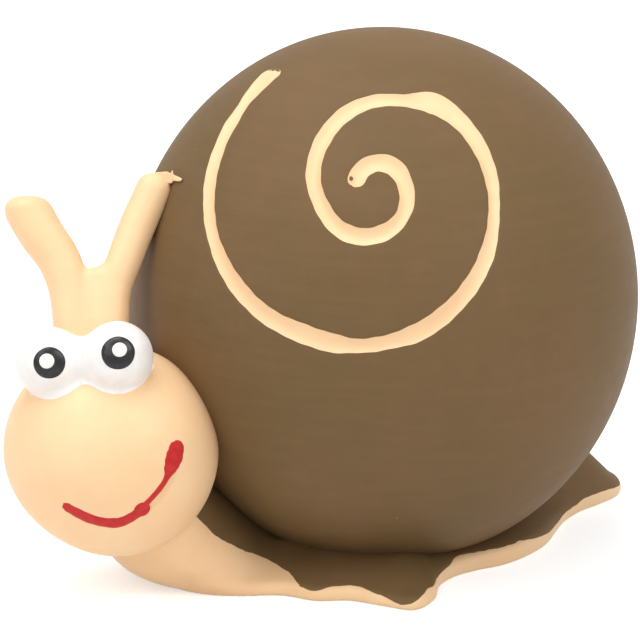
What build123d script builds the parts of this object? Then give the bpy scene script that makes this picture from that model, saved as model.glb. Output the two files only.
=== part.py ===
from build123d import *
from math import cos, radians, sin, sqrt
import os

os.makedirs("parts", exist_ok=True)

# shell
shell_radius = 40.8
shell_half_height = 43.0
shell_sink = 3.0
shell_wall = 2.6

# spiral groove: bearings of its first centre, then angular radius and turn of each arc
spiral_bearing = -31.0
spiral_elevation = 37.4
spiral_start = 163.0
spiral_arcs = ((5.3, 130), (8.9, 180), (18.4, 180), (29.4, 145), (38.7, 117.5))
groove_radius = 1.25
bead_recess = 0.4
right_spiral_turn = -36
right_spiral_tilt = -18

# foot: outline from the front round the left side to the tail, as shares of its half length and half width
foot_reach = 5.2
foot_set_in = 6.8
outline_shares = (
    (-0.974, 0), (-0.939, -0.19), (-0.865, -0.347), (-0.739, -0.45), (-0.615, -0.535),
    (-0.539, -0.67), (-0.439, -0.741), (-0.374, -0.859), (-0.293, -0.988), (-0.187, -0.926),
    (-0.104, -0.788), (-0.011, -0.712), (0.091, -0.688), (0.202, -0.685), (0.324, -0.635),
    (0.441, -0.547), (0.552, -0.409), (0.635, -0.312), (0.739, -0.232), (0.852, -0.182),
    (0.957, -0.118), (1.013, 0),
)
rim_height = 2.2
rim_round = 0.5
pad_height = 3.1
spigot_height = 6.0

# mantle
mantle_edge = 0.7
mantle_inset_share = 0.985
mantle_top_height = 5.7
mantle_lap = 0.4
saddle_set_back = 21.2
saddle_low = 1.5
saddle_slope = 34.2
tail_set_back = 14.0
tail_length = 13.6
tail_width = 8.6
tail_top_set_back = 15.0
tail_top_height = 9.8
tail_top_length = 6.4
tail_top_width = 3.6

# head and face: places on the face are shares of the head radius, across, up and forward
head_radius = 16.5
head_sink = 7.1
head_side = -4.0
head_height = 23.1
face_turn = -29.0
face_tilt = 16.0
head_wall = 2.6
head_hollow_shift = 2.6
eyes_middle_shares = (-0.2075, 0.859, 0.5925)
eyes_across_shares = (0.974, 0.081, 0.21)
eye_radius = 5.33
eye_lap = 0.04
left_look = (0.075, 0.125, 1)
right_look = (0.06, -0.01, 1)
left_glint_look = (0.115, 0.205, 1)
right_glint_look = (-0.01, 0.04, 1)
pupil_radius = 2.45
pupil_depth = 0.5
pupil_rise = 0.2
glint_radius = 1.15
glint_rise = 0.2
eye_peg_radius = 1.6
eye_peg_reach = 3.2

# tentacles: axis places as shares of the head radius, then thickness as shares of the tentacle's own radius
left_tentacle_radius = 3.0
left_tentacle_shares = (
    ((-0.02, 0.8, 0.04), 1.02), ((0.0, 1.12, 0.02), 0.99), ((0.05, 1.5, -0.03), 0.99),
    ((0.135, 1.76, -0.07), 1.01), ((0.24, 2.06, -0.13), 0.99), ((0.335, 2.28, -0.18), 0.96),
    ((0.38, 2.39, -0.21), 0.92),
)
right_tentacle_radius = 3.2
right_tentacle_shares = (
    ((-0.3, 0.8, 0.04), 0.98), ((-0.345, 1.15, 0.02), 0.96), ((-0.39, 1.5, -0.04), 0.97),
    ((-0.49, 1.78, -0.1), 1.02), ((-0.66, 2.02, -0.17), 1.07), ((-0.78, 2.17, -0.22), 1.09),
)
tentacle_knob_share = 1.04
tentacle_parting_share = -0.165
tentacle_peg_radius = 1.5
tentacle_peg_reach = 3.0

# mouth
mouth_shares = ((-0.39, -0.462, 0.797), (0.05, -0.616, 0.787), (0.61, -0.12, 0.785))
dab_shares = ((0.585, -0.165, 0.795), (0.632, -0.03, 0.775), (0.655, 0.09, 0.75))
mouth_radius = 0.75
dab_radius = 1.35
mouth_rise = 0.2

# neck: sections from the sole to the head
neck_sole_set_back = 15.6
neck_sole_length = 14.0
neck_sole_width = 15.2
neck_mid_set_back = 10.0
neck_mid_side = -1.2
neck_mid_height = 7.5
neck_mid_tilt = -22.0
neck_mid_length = 11.8
neck_mid_width = 12.4
neck_aim_set_back = 13.0
neck_aim_side = -1.0
neck_aim_height = 5.0
neck_bury = 6.0
neck_top_radius = 10.0
peg_aim_set_back = 8.5
peg_aim_side = -1.5
peg_aim_height = 3.0
peg_radius = 3.2
peg_reach = 4.4

# squeaker
flange_radius = 11.0
flange_low = 0.3
flange_top = 1.5
cup_radius = 9.0
cup_bore_radius = 8.0
cup_floor_top = 2.5
cup_top = 9.5
bead_radius = 9.5
bead_low = 6.2
bead_top = 7.0
cover_top = 10.3
cover_lip_depth = 1.2
cover_lip_wall = 0.9
cover_hole_radius = 0.9
cover_hole_circle = 4.4
cover_hole_count = 6
plug_radius = 3.0
plug_low = 0.7
collar_radius = 3.8
collar_top = 3.3
bed_radius = 2.5
bed_top = 8.1
bed_relief = 5.0
slot_width = 1.5
slot_depth = 1.3
slot_low = 4.7
slot_top = 7.5
air_radius = 0.6
reed_width = 2.6
reed_thickness = 0.2
reed_low = 3.45
reed_top = 7.9
wedge_width = 3.2
wedge_depth = 1.5
wedge_low = 3.35
wedge_top = 4.25

# fits
bond_gap = 0.1
spigot_clearance = 0.28
bore_clearance = 0.12
reed_clearance = 0.08
overrun = 5.0

# sizes and places that follow from the ones above
shell_height_share = shell_half_height / shell_radius
shell_center_height = shell_half_height - shell_sink
shell_seat_height = pad_height + bond_gap
foot_half_length = shell_radius + foot_reach
foot_half_width = shell_radius - foot_set_in
head_hollow_radius = head_radius - head_wall - head_hollow_shift
middle = Vector(head_sink - shell_radius - head_radius, head_side, head_height)
shell_middle = Vector(0, 0, shell_center_height)
neck_mid_place = Vector(neck_mid_set_back - foot_half_length, neck_mid_side, neck_mid_height)
neck_aim = Vector(neck_aim_set_back - foot_half_length, neck_aim_side, neck_aim_height)
peg_aim = Vector(peg_aim_set_back - foot_half_length, peg_aim_side, peg_aim_height)

face_plane = Plane(
    origin=middle,
    x_dir=(cos(radians(face_turn)), sin(radians(face_turn)), 0),
    z_dir=(
        sin(radians(face_turn)) * cos(radians(face_tilt)),
        -cos(radians(face_turn)) * cos(radians(face_tilt)),
        sin(radians(face_tilt)),
    ),
)
away = (middle - shell_middle).normalized()
head_plane = Plane(origin=middle, x_dir=(0, 1, 0), z_dir=away)


def level_radius(radius, height):
    """Radius at a height over the ground of a tall globe about the middle of the shell."""
    rise = (height - shell_center_height) / (radius * shell_height_share)
    return radius * sqrt(1 - rise * rise)


pad_radius = level_radius(shell_radius + bond_gap, pad_height)
spigot_radius = level_radius(shell_radius - shell_wall, shell_seat_height) - spigot_clearance
mantle_top_radius = level_radius(shell_radius, mantle_top_height) + mantle_lap


def on_face(shares):
    """Place in space of a point given across, up and forward on the face."""
    across, up, forward = shares
    return face_plane.from_local_coords((across * head_radius, up * head_radius, forward * head_radius))


def on_head(shares):
    """The same, pushed out or in to the head's surface."""
    return middle + (on_face(shares) - middle).normalized() * head_radius


def globe(radius):
    """Tall globe about the middle of the shell, flat where it meets the pad of the foot."""
    with BuildPart() as ball:
        Sphere(radius)
        scale(by=(1, 1, shell_height_share), mode=Mode.REPLACE)
    with BuildPart() as raised:
        with Locations(shell_middle):
            add(ball.part)
        split(bisect_by=Plane.XY.offset(pad_height), keep=Keep.TOP)
    return raised.part


def spiral_tube(radius):
    """Round tube that follows the spiral, its axis on a ball of the shell's radius."""
    turn, lift, start = radians(spiral_bearing), radians(spiral_elevation), radians(spiral_start)
    center = Vector(sin(turn) * cos(lift), -cos(turn) * cos(lift), sin(lift))
    across = Vector(cos(turn), sin(turn), 0)
    upward = center.cross(across)
    first = radians(spiral_arcs[0][0])
    place = center * cos(first) + (across * cos(start) + upward * sin(start)) * sin(first)
    with BuildPart() as tube:
        with BuildLine() as path:
            for opening, sweep_turn in spiral_arcs:
                pivot = Axis((0, 0, 0), place.cross(center))
                center = place.rotate(pivot, opening)
                spin = Axis((0, 0, 0), center)
                halfway = place.rotate(spin, -sweep_turn / 2)
                last = place.rotate(spin, -sweep_turn)
                ThreePointArc(place * shell_radius, halfway * shell_radius, last * shell_radius)
                place = last
        with BuildSketch(Plane(origin=path.line @ 0, z_dir=path.line % 0)):
            Circle(radius)
        sweep()
        with Locations(path.line @ 0, path.line @ 1):
            Sphere(radius)
    return tube.part


def both_sides(piece):
    """The piece, and its copy for the other flank."""
    with BuildPart() as other:
        add(piece)
        mirror(about=Plane.XZ, mode=Mode.REPLACE)
    with BuildPart() as turned:
        with Locations(Rotation(right_spiral_tilt, 0, right_spiral_turn)):
            add(other.part)
    return piece, turned.part


def outline_points(share):
    """Closed outline of the frill, left side then right side."""
    half = [(x * foot_half_length * share, y * foot_half_width * share) for x, y in outline_shares]
    return half + [(x, -y) for x, y in reversed(half[1:-1])]


def closed_face(points):
    """Flat face inside a smooth closed line."""
    with BuildSketch() as area:
        with BuildLine():
            Spline(*points, periodic=True)
        make_face()
    return area.sketch


def ring_points(radius):
    """Round outline with as many points as the frill's, at the same bearings."""
    return [Vector(x, y).normalized() * radius for x, y in outline_points(1)]


neck_pull = (neck_aim - middle).normalized()
saddle_place = (saddle_set_back - foot_half_length, 0, saddle_low)
saddle_plane = Plane(origin=saddle_place).rotated((0, saddle_slope, 0))


def neck():
    """Neck from the sole up into the ball of the head."""
    top = middle + neck_pull * (head_radius - neck_bury)
    with BuildPart() as trunk:
        with BuildSketch():
            with Locations((neck_sole_set_back - foot_half_length, 0)):
                Ellipse(neck_sole_length, neck_sole_width)
        with BuildSketch(Plane(origin=neck_mid_place).rotated((0, neck_mid_tilt, 0))):
            Ellipse(neck_mid_length, neck_mid_width)
        with BuildSketch(Plane(origin=top, x_dir=(neck_pull.Z, 0, -neck_pull.X), z_dir=-neck_pull)):
            Circle(neck_top_radius)
        loft()
    return trunk.part


def rod(start, end, radius):
    """Round rod between two places."""
    run = Vector(end) - Vector(start)
    with BuildPart() as bar:
        with BuildSketch(Plane(origin=start, z_dir=run)):
            Circle(radius)
        extrude(amount=run.length)
    return bar.part


def tentacle_form(stations, radius):
    """Bent finger through round sections, with a round tip."""
    places = [on_face(place) for place, share in stations]
    with BuildPart() as finger:
        for index, (place, share) in enumerate(stations):
            before = places[max(index - 1, 0)]
            after = places[min(index + 1, len(places) - 1)]
            with BuildSketch(Plane(origin=places[index], x_dir=face_plane.x_dir, z_dir=after - before)):
                Circle(share * radius)
        loft()
        with Locations(Plane(origin=places[-1], x_dir=face_plane.x_dir, z_dir=places[-1] - places[-2])):
            Sphere(stations[-1][1] * radius * tentacle_knob_share)
    return finger.part


def look_plane(place, look):
    """Plane in the middle of an eye, facing along a look given across, up and forward."""
    ahead = face_plane.from_local_coords(look) - middle
    return Plane(origin=place, x_dir=face_plane.x_dir, z_dir=ahead)


def eye_form(plane, grow):
    """Ball of an eye."""
    with BuildPart() as dome:
        with Locations(plane):
            Sphere(eye_radius + grow)
    return dome.part


def eye_button(plane, radius):
    """Round column along the look from the middle of an eye."""
    return rod(plane.origin, plane.origin + plane.z_dir * (eye_radius + overrun), radius)


def arc_tube(shares, radius):
    """Round tube along an arc on the head, with round ends."""
    places = [on_head(place) for place in shares]
    with BuildPart() as tube:
        with BuildLine() as path:
            ThreePointArc(*places)
        with BuildSketch(Plane(origin=path.line @ 0, z_dir=path.line % 0)):
            Circle(radius)
        sweep()
        with Locations(path.line @ 0, path.line @ 1):
            Sphere(radius)
    return tube.part


def peg_line(start, reach):
    """Ends of a peg that runs from a place above the head towards its middle."""
    inward = (middle - start).normalized()
    return start, middle - inward * (head_radius - reach)


def keep(piece, label):
    """Name a finished piece and write its file."""
    piece.label = label
    export_step(piece, "parts/" + label + ".step")


# shell and spirals
grooves = both_sides(spiral_tube(groove_radius))
beads = both_sides(spiral_tube(groove_radius - bond_gap))

with BuildPart() as ball:
    Sphere(shell_radius)
    Sphere(shell_radius - shell_wall, mode=Mode.SUBTRACT)
    for groove in grooves:
        add(groove, mode=Mode.SUBTRACT)
    scale(by=(1, 1, shell_height_share), mode=Mode.REPLACE)
with BuildPart() as shell:
    with Locations(shell_middle):
        add(ball.part)
    split(bisect_by=Plane.XY.offset(shell_seat_height), keep=Keep.TOP)
keep(shell.part, "shell")

for bead, label in zip(beads, ("left_spiral", "right_spiral")):
    with BuildPart() as strip:
        add(bead)
        Sphere(shell_radius - bead_recess, mode=Mode.INTERSECT)
        scale(by=(1, 1, shell_height_share), mode=Mode.REPLACE)
    with BuildPart() as spiral:
        with Locations(shell_middle):
            add(strip.part)
    keep(spiral.part, label)

# foot
peg_pull = (peg_aim - middle).normalized()
peg_start = middle + peg_pull * (head_radius + peg_reach)
peg_end = middle + peg_pull * (head_radius - peg_reach)
shell_room = globe(shell_radius + bond_gap)
sole_face = closed_face(outline_points(1))
with BuildPart() as throat:
    add(neck())
    split(bisect_by=saddle_plane, keep=Keep.BOTTOM)
neck_peg = rod(peg_start, peg_end, peg_radius)
with BuildPart() as foot:
    with BuildSketch():
        add(sole_face)
    extrude(amount=rim_height)
    fillet(foot.edges().group_by(Axis.Z)[0], radius=rim_round)
    with BuildSketch():
        Circle(pad_radius)
    extrude(amount=pad_height)
    add(throat.part)
    with Locations(head_plane):
        Sphere(head_radius + bond_gap, mode=Mode.SUBTRACT)
    add(shell_room, mode=Mode.SUBTRACT)
    with BuildSketch():
        Circle(spigot_radius)
    extrude(amount=spigot_height)
    with BuildSketch():
        Circle(flange_radius + bore_clearance)
    extrude(amount=flange_top + bond_gap, mode=Mode.SUBTRACT)
    with BuildSketch():
        Circle(cup_radius + bore_clearance)
    extrude(amount=spigot_height + overrun, mode=Mode.SUBTRACT)
    add(neck_peg)
keep(foot.part, "foot")

# mantle
mantle_low_face = closed_face(outline_points(mantle_inset_share))
mantle_edge_face = closed_face(outline_points(mantle_inset_share * mantle_inset_share))
mantle_top_face = closed_face(ring_points(mantle_top_radius))
mantle_low = rim_height + bond_gap
saddle = neck()
shell_room = globe(shell_radius + bond_gap)
with BuildPart() as tail:
    with BuildSketch(Plane.XY.offset(mantle_low)):
        with Locations((foot_half_length - tail_set_back, 0)):
            Ellipse(tail_length, tail_width)
    with BuildSketch(Plane.XY.offset(tail_top_height)):
        with Locations((foot_half_length - tail_top_set_back, 0)):
            Ellipse(tail_top_length, tail_top_width)
    loft()
with BuildPart() as mantle:
    with BuildSketch(Plane.XY.offset(mantle_low)):
        add(mantle_low_face)
    with BuildSketch(Plane.XY.offset(mantle_low + mantle_edge)):
        add(mantle_edge_face)
    with BuildSketch(Plane.XY.offset(mantle_top_height)):
        add(mantle_top_face)
    loft(ruled=True)
    add(tail.part)
    add(saddle)
    split(bisect_by=saddle_plane.offset(bond_gap), keep=Keep.TOP)
    split(bisect_by=Plane.XY.offset(mantle_low), keep=Keep.TOP)
    add(shell_room, mode=Mode.SUBTRACT)
    with BuildSketch():
        Circle(pad_radius + bond_gap)
    extrude(amount=pad_height + overrun, mode=Mode.SUBTRACT)
    with Locations(head_plane):
        Sphere(head_radius + bond_gap, mode=Mode.SUBTRACT)
keep(mantle.part, "mantle")

# head
eyes_middle = on_face(eyes_middle_shares)
eyes_across = (face_plane.from_local_coords(eyes_across_shares) - middle).normalized()
left_eye_place = eyes_middle + eyes_across * (eye_radius - eye_lap)
right_eye_place = eyes_middle - eyes_across * (eye_radius - eye_lap)
head_bores = [rod(peg_start, middle, peg_radius + bore_clearance)]
for place in (left_eye_place, right_eye_place):
    head_bores.append(rod(place, middle, eye_peg_radius + bore_clearance))
for stations in (left_tentacle_shares, right_tentacle_shares):
    head_bores.append(rod(on_face(stations[1][0]), middle, tentacle_peg_radius + bore_clearance))
shell_room = globe(shell_radius + bond_gap)
smile_room = arc_tube(mouth_shares, mouth_radius + bond_gap)
dab_room = arc_tube(dab_shares, dab_radius + bond_gap)
with BuildPart() as head:
    with Locations(head_plane):
        Sphere(head_radius)
    add(shell_room, mode=Mode.SUBTRACT)
    with Locations(head_plane.offset(head_hollow_shift)):
        Sphere(head_hollow_radius, mode=Mode.SUBTRACT)
    for bore in head_bores:
        add(bore, mode=Mode.SUBTRACT)
    add(smile_room, mode=Mode.SUBTRACT)
    add(dab_room, mode=Mode.SUBTRACT)
keep(head.part, "head")

# mouth
smile = arc_tube(mouth_shares, mouth_radius)
dab = arc_tube(dab_shares, dab_radius)
with BuildPart() as mouth:
    add(smile)
    add(dab)
    with Locations(head_plane):
        Sphere(head_radius + mouth_rise, mode=Mode.INTERSECT)
keep(mouth.part, "mouth")

# eyes, pupils and glints
eye_sides = (
    ("left", left_eye_place, left_look, left_glint_look, 1),
    ("right", right_eye_place, right_look, right_glint_look, -1),
)
for side, place, look, glint_look, sign in eye_sides:
    plane = look_plane(place, look)
    glint_plane = look_plane(place, glint_look)
    dome = eye_form(plane, 0)
    dome_floor = eye_form(plane, -pupil_depth)
    pupil_floor = eye_form(plane, bond_gap - pupil_depth)
    pupil_crown = eye_form(plane, pupil_rise)
    glint_floor = eye_form(glint_plane, pupil_rise + bond_gap / 2)
    glint_crown = eye_form(glint_plane, pupil_rise + glint_rise)
    recess_column = eye_button(plane, pupil_radius + bond_gap)
    pupil_column = eye_button(plane, pupil_radius)
    glint_column = eye_button(glint_plane, glint_radius)
    eye_peg = rod(*peg_line(place, eye_peg_reach), eye_peg_radius)
    parting = Plane(origin=eyes_middle + eyes_across * sign * bond_gap / 2, z_dir=eyes_across * sign)
    with BuildPart() as recess:
        add(recess_column)
        add(dome_floor, mode=Mode.SUBTRACT)
    with BuildPart() as eye:
        add(dome)
        with Locations(head_plane):
            Sphere(head_radius + bond_gap, mode=Mode.SUBTRACT)
        split(bisect_by=parting, keep=Keep.TOP)
        add(eye_peg)
        add(recess.part, mode=Mode.SUBTRACT)
    keep(eye.part, side + "_eye")
    with BuildPart() as pupil:
        add(pupil_column)
        add(pupil_crown, mode=Mode.INTERSECT)
        add(pupil_floor, mode=Mode.SUBTRACT)
    keep(pupil.part, side + "_pupil")
    with BuildPart() as glint:
        add(glint_column)
        add(glint_crown, mode=Mode.INTERSECT)
        add(glint_floor, mode=Mode.SUBTRACT)
    keep(glint.part, side + "_glint")

# tentacles
parting_place = on_face((tentacle_parting_share, 1, 0))
tentacle_sides = (
    ("left", left_tentacle_shares, left_tentacle_radius, 1),
    ("right", right_tentacle_shares, right_tentacle_radius, -1),
)
for side, stations, radius, sign in tentacle_sides:
    finger = tentacle_form(stations, radius)
    shell_room = globe(shell_radius + bond_gap)
    tentacle_peg = rod(*peg_line(on_face(stations[1][0]), tentacle_peg_reach), tentacle_peg_radius)
    parting = Plane(
        origin=parting_place + face_plane.x_dir * sign * bond_gap / 2,
        z_dir=face_plane.x_dir * sign,
    )
    with BuildPart() as tentacle:
        add(finger)
        with Locations(head_plane):
            Sphere(head_radius + bond_gap, mode=Mode.SUBTRACT)
        add(shell_room, mode=Mode.SUBTRACT)
        split(bisect_by=parting, keep=Keep.TOP)
        add(tentacle_peg)
    keep(tentacle.part, side + "_tentacle")

# squeaker
with BuildPart() as squeaker_cup:
    with BuildSketch(Plane.XY.offset(flange_low)):
        Circle(flange_radius)
    extrude(amount=flange_top - flange_low)
    with BuildSketch(Plane.XY.offset(flange_low)):
        Circle(cup_radius)
    extrude(amount=cup_top - flange_low)
    with BuildSketch(Plane.XY.offset(bead_low)):
        Circle(bead_radius)
    extrude(amount=bead_top - bead_low)
    with BuildSketch(Plane.XY.offset(cup_floor_top)):
        Circle(cup_bore_radius)
    extrude(amount=cup_top - cup_floor_top + overrun, mode=Mode.SUBTRACT)
    with BuildSketch():
        Circle(plug_radius + bore_clearance)
    extrude(amount=cup_floor_top + overrun, mode=Mode.SUBTRACT)
keep(squeaker_cup.part, "squeaker_cup")

with BuildPart() as squeaker_cover:
    with BuildSketch(Plane.XY.offset(cup_top + bond_gap)):
        Circle(cup_radius)
    extrude(amount=cover_top - cup_top - bond_gap)
    with BuildSketch(Plane.XY.offset(cup_top - cover_lip_depth)):
        Circle(cup_bore_radius - bore_clearance)
        Circle(cup_bore_radius - cover_lip_wall, mode=Mode.SUBTRACT)
    extrude(amount=cover_lip_depth + bond_gap)
    with BuildSketch(Plane.XY.offset(cup_top)):
        with PolarLocations(cover_hole_circle, cover_hole_count):
            Circle(cover_hole_radius)
    extrude(amount=cover_top - cup_top + overrun, mode=Mode.SUBTRACT)
keep(squeaker_cover.part, "squeaker_cover")

bed_plane = Plane(origin=(0, 0, wedge_top)).rotated((0, -bed_relief, 0))
with BuildPart() as reed_block:
    with BuildSketch(Plane.XY.offset(plug_low)):
        Circle(plug_radius)
    extrude(amount=collar_top - plug_low)
    with BuildSketch(Plane.XY.offset(cup_floor_top + bond_gap)):
        Circle(collar_radius)
    extrude(amount=collar_top - cup_floor_top - bond_gap)
    with BuildSketch(Plane.XY.offset(collar_top)):
        Circle(bed_radius)
        with Locations((bed_radius, 0)):
            Rectangle(bed_radius + bed_radius, bed_radius + bed_radius, mode=Mode.SUBTRACT)
    extrude(amount=bed_top - collar_top)
    with BuildSketch(bed_plane):
        with Locations((bed_radius, 0)):
            Rectangle(bed_radius + bed_radius, bed_radius + bed_radius)
    extrude(amount=bed_top - wedge_top + overrun, mode=Mode.SUBTRACT)
    with BuildSketch(Plane.XY.offset(slot_low)):
        Rectangle(slot_depth + slot_depth, slot_width)
    extrude(amount=slot_top - slot_low, mode=Mode.SUBTRACT)
    with BuildSketch():
        with Locations((air_radius - slot_depth, 0)):
            Circle(air_radius)
    extrude(amount=slot_top, mode=Mode.SUBTRACT)
keep(reed_block.part, "reed_block")

with BuildPart() as reed:
    with BuildSketch(Plane.XY.offset(reed_low)):
        with Locations((reed_clearance + reed_thickness / 2, 0)):
            Rectangle(reed_thickness, reed_width)
    extrude(amount=reed_top - reed_low)
keep(reed.part, "reed")

with BuildPart() as reed_wedge:
    with BuildSketch(Plane.XY.offset(wedge_low)):
        with Locations((reed_clearance + reed_thickness + reed_clearance + wedge_depth / 2, 0)):
            Rectangle(wedge_depth, wedge_width)
    extrude(amount=wedge_top - wedge_low)
keep(reed_wedge.part, "reed_wedge")
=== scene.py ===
from math import cos, pi, radians, sin

import bmesh
import bpy
import numpy as np
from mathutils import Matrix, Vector


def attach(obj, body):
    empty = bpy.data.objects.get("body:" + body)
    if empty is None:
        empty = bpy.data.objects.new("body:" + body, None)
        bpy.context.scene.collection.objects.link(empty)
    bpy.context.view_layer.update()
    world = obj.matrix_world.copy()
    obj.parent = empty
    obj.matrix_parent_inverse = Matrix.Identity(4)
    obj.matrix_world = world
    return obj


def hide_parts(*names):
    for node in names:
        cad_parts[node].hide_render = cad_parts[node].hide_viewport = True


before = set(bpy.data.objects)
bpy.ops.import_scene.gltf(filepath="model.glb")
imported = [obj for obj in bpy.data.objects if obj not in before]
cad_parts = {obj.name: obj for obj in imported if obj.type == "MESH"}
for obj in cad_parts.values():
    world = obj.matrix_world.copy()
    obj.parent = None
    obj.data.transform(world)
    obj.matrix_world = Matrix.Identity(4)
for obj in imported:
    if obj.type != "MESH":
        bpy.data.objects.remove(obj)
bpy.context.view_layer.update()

# Sizes and places are in millimetres until a mesh is made.
MM = 0.001

# Places on the snail

shell_radius, shell_half_height, shell_sink = 40.8, 43.0, 3.0
shell_seat, shell_wall = 3.2, 2.6
shell_middle = np.array((0.0, 0.0, shell_half_height - shell_sink))
shell_radii = np.array((shell_radius, shell_radius, shell_half_height))

head_radius, head_sink, head_side, head_height = 16.5, 7.1, -4.0, 23.1
head_middle = np.array((head_sink - shell_radius - head_radius, head_side, head_height))
face_turn, face_tilt = radians(-29), radians(16)
face_right = np.array((cos(face_turn), sin(face_turn), 0.0))
face_ahead = np.array((sin(face_turn) * cos(face_tilt), -cos(face_turn) * cos(face_tilt), sin(face_tilt)))
face_up = np.cross(face_ahead, face_right)


def on_face(across, up, ahead):
    """Place of a point given across, up and ahead on the face, in head radii."""
    return head_middle + head_radius * (across * face_right + up * face_up + ahead * face_ahead)


eye_radius = 5.33
left_eye_middle = on_face(0.105, 0.885, 0.66)
right_eye_middle = on_face(-0.52, 0.833, 0.525)

# the tentacles: across, up and ahead on the face, then the radius
left_tentacle = (
    (-0.02, 0.8, 0.04, 3.05), (-0.01, 1.12, 0.02, 2.9), (0.025, 1.5, -0.05, 2.65), (0.112, 1.76, -0.11, 2.7),
    (0.22, 2.06, -0.19, 2.8), (0.325, 2.3, -0.23, 2.8), (0.38, 2.43, -0.25, 2.75),
)
right_tentacle = (
    (-0.3, 0.8, 0.04, 3.13), (-0.345, 1.15, 0.02, 3.1), (-0.39, 1.5, -0.04, 3.15), (-0.49, 1.78, -0.1, 3.3),
    (-0.66, 2.02, -0.17, 3.5), (-0.79, 2.24, -0.23, 3.6),
)
# height of the right tentacle's flat tip on the face
right_tip = 2.385
between_tentacles = on_face(-0.165, 1, 0)
tentacle_web = ((-0.15, 0.8, 0.02, 2.7), (-0.15, 1.2, 0.0, 2.4), (-0.125, 1.6, -0.05, 1.7))
# torn flash on the tip of the left tentacle: across and up on the face, and its place ahead
flash_ahead = -0.2
flash = (
    (0.4, 2.59), (0.46, 2.6), (0.513, 2.604), (0.543, 2.59), (0.565, 2.616), (0.574, 2.578), (0.621, 2.553),
    (0.658, 2.529), (0.637, 2.507), (0.574, 2.516), (0.55, 2.492), (0.481, 2.5), (0.42, 2.53),
)

# the smile: across and up on the face, then the half width of its paint
smile = (
    (-0.385, -0.462, 0.5), (-0.345, -0.482, 0.92), (-0.256, -0.53, 1.0), (-0.137, -0.585, 1.0),
    (-0.017, -0.616, 1.02), (0.103, -0.622, 1.05), (0.188, -0.595, 1.0), (0.261, -0.553, 0.88),
    (0.315, -0.512, 0.95), (0.368, -0.448, 0.5), (0.422, -0.391, 0.5), (0.481, -0.325, 0.5),
    (0.533, -0.253, 0.5), (0.566, -0.187, 0.65), (0.584, -0.139, 1.15), (0.607, -0.079, 1.5),
    (0.633, -0.005, 1.65), (0.648, 0.061, 1.5), (0.654, 0.1, 1.15), (0.654, 0.127, 0.45),
)
smile_drop = (0.335, -0.497)
# fold that runs beside the thin part of the smile: across and up on the face, then its half width
fold = ((0.34, -0.53, 0.05), (0.43, -0.46, 0.4), (0.52, -0.36, 0.5), (0.59, -0.25, 0.42), (0.64, -0.15, 0.05))

# half of the rim's outline, as shares of the foot's half length and half width
outline_shares = (
    (-0.974, 0), (-0.939, -0.19), (-0.865, -0.347), (-0.739, -0.45), (-0.615, -0.535), (-0.539, -0.67),
    (-0.439, -0.741), (-0.374, -0.859), (-0.293, -0.988), (-0.187, -0.926), (-0.104, -0.788),
    (-0.011, -0.712), (0.091, -0.688), (0.202, -0.685), (0.324, -0.635), (0.441, -0.547), (0.552, -0.409),
    (0.635, -0.312), (0.739, -0.232), (0.852, -0.182), (0.957, -0.118), (1.013, 0),
)
foot_reach, foot_set_in = 5.2, 6.8
foot_half_length, foot_half_width = shell_radius + foot_reach, shell_radius - foot_set_in
rim_points, least_reach = 720, 12
rim_height, rim_fall, rim_mean_reach, rim_lowest, rim_highest = 2.35, 0.07, 27, 1.75, 2.5
rim_wave, rim_waves, rim_wave_start = 0.14, 5, 0.6
skirt_rise, skirt_width = 0.27, 14
tail_place, tail_length, tail_width, tail_rise, tail_low, tail_steepness = 31.7, 13.6, 8.6, 13.6, 2.3, 0.55
# rounding of the sole's edge, and how much rounder it is under the neck
sole_edge, neck_edge_round, neck_start, neck_run = 0.7, 4.6, -32, 9
# the neck: place and radius, then how much wider than high it is at the ground
neck_rows = np.array(((-32.0, 0, 0, 11.0), (-38.5, -1.2, 7.0, 10.0), (-46.0, -3.0, 15.5, 8.5)))
neck_spread, neck_spread_fall = 1.3, 0.02
cheek_depth, cheek_across, cheek_up = 0.9, -0.55, -0.83

# roundings where forms meet
rim_round, tail_round, neck_round, fold_round, tip_round = 1.5, 1.6, 2.0, 0.8, 2.0
eye_join, eye_round, tentacle_join, web_round, tentacle_round = 4.0, 1.1, 1.0, 2.0, 2.4

# bearing from the tail in degrees, then height of the brown paint's edge on the rim
paint_edge = (
    (0, 1.25), (3, 1.4), (9, 2.3), (12, 2.2), (14, 1.7), (18.5, 1.5), (25, 1.35), (40.5, 1.7), (58.5, 2.8),
    (78.5, 2.8), (89.5, 2.7), (93.5, 2.2), (101, 1.8), (107, 2.2), (110, 1.7), (113, 1.1), (115.5, 0.8),
    (117.5, 1.4), (121.5, 1.8), (126, 2.3), (129.5, 2.35), (134, 2.2), (138, 1.6), (142.5, 2.0), (180, 2.2),
)
saddle_place, saddle_slope = np.array((-24.8, 0.0, 1.5)), radians(34.2)
saddle_normal = np.array((sin(saddle_slope), 0.0, cos(saddle_slope)))
# place across the face's direction, then how far the paint's edge on the neck strays there
neck_edge = (
    (-29, 1.2), (-26, 0), (-22.4, 0), (-17.7, 0.75), (-14.6, 0.65), (-13.4, 0), (-12.7, -0.65), (-11.2, -1),
)
# how the edges of the paint wander: how far, the length of the waves, and the seed
rim_wander = ((0.05, 6.0, 4), (0.03, 2.0, 5))
neck_wander = ((0.14, 6.0, 6), (0.06, 1.8, 7))
white_wander = ((0.05, 3.0, 8),)

# the spiral: angular radius and turn of each arc, clockwise from its inner end
spiral_bearing, spiral_rise, spiral_start = radians(-31), radians(37.4), radians(163)
spiral_arcs = ((5.3, 130), (8.9, 180), (18.4, 180), (29.4, 145), (38.7, 117.5))
right_spiral_turn, right_spiral_tilt = radians(-36), radians(-18)
# length of the blunt outer end as a share of its half width, and what the strip adds to that share
blunt_end_share, strip_end_share = 0.5, 0.2
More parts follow.
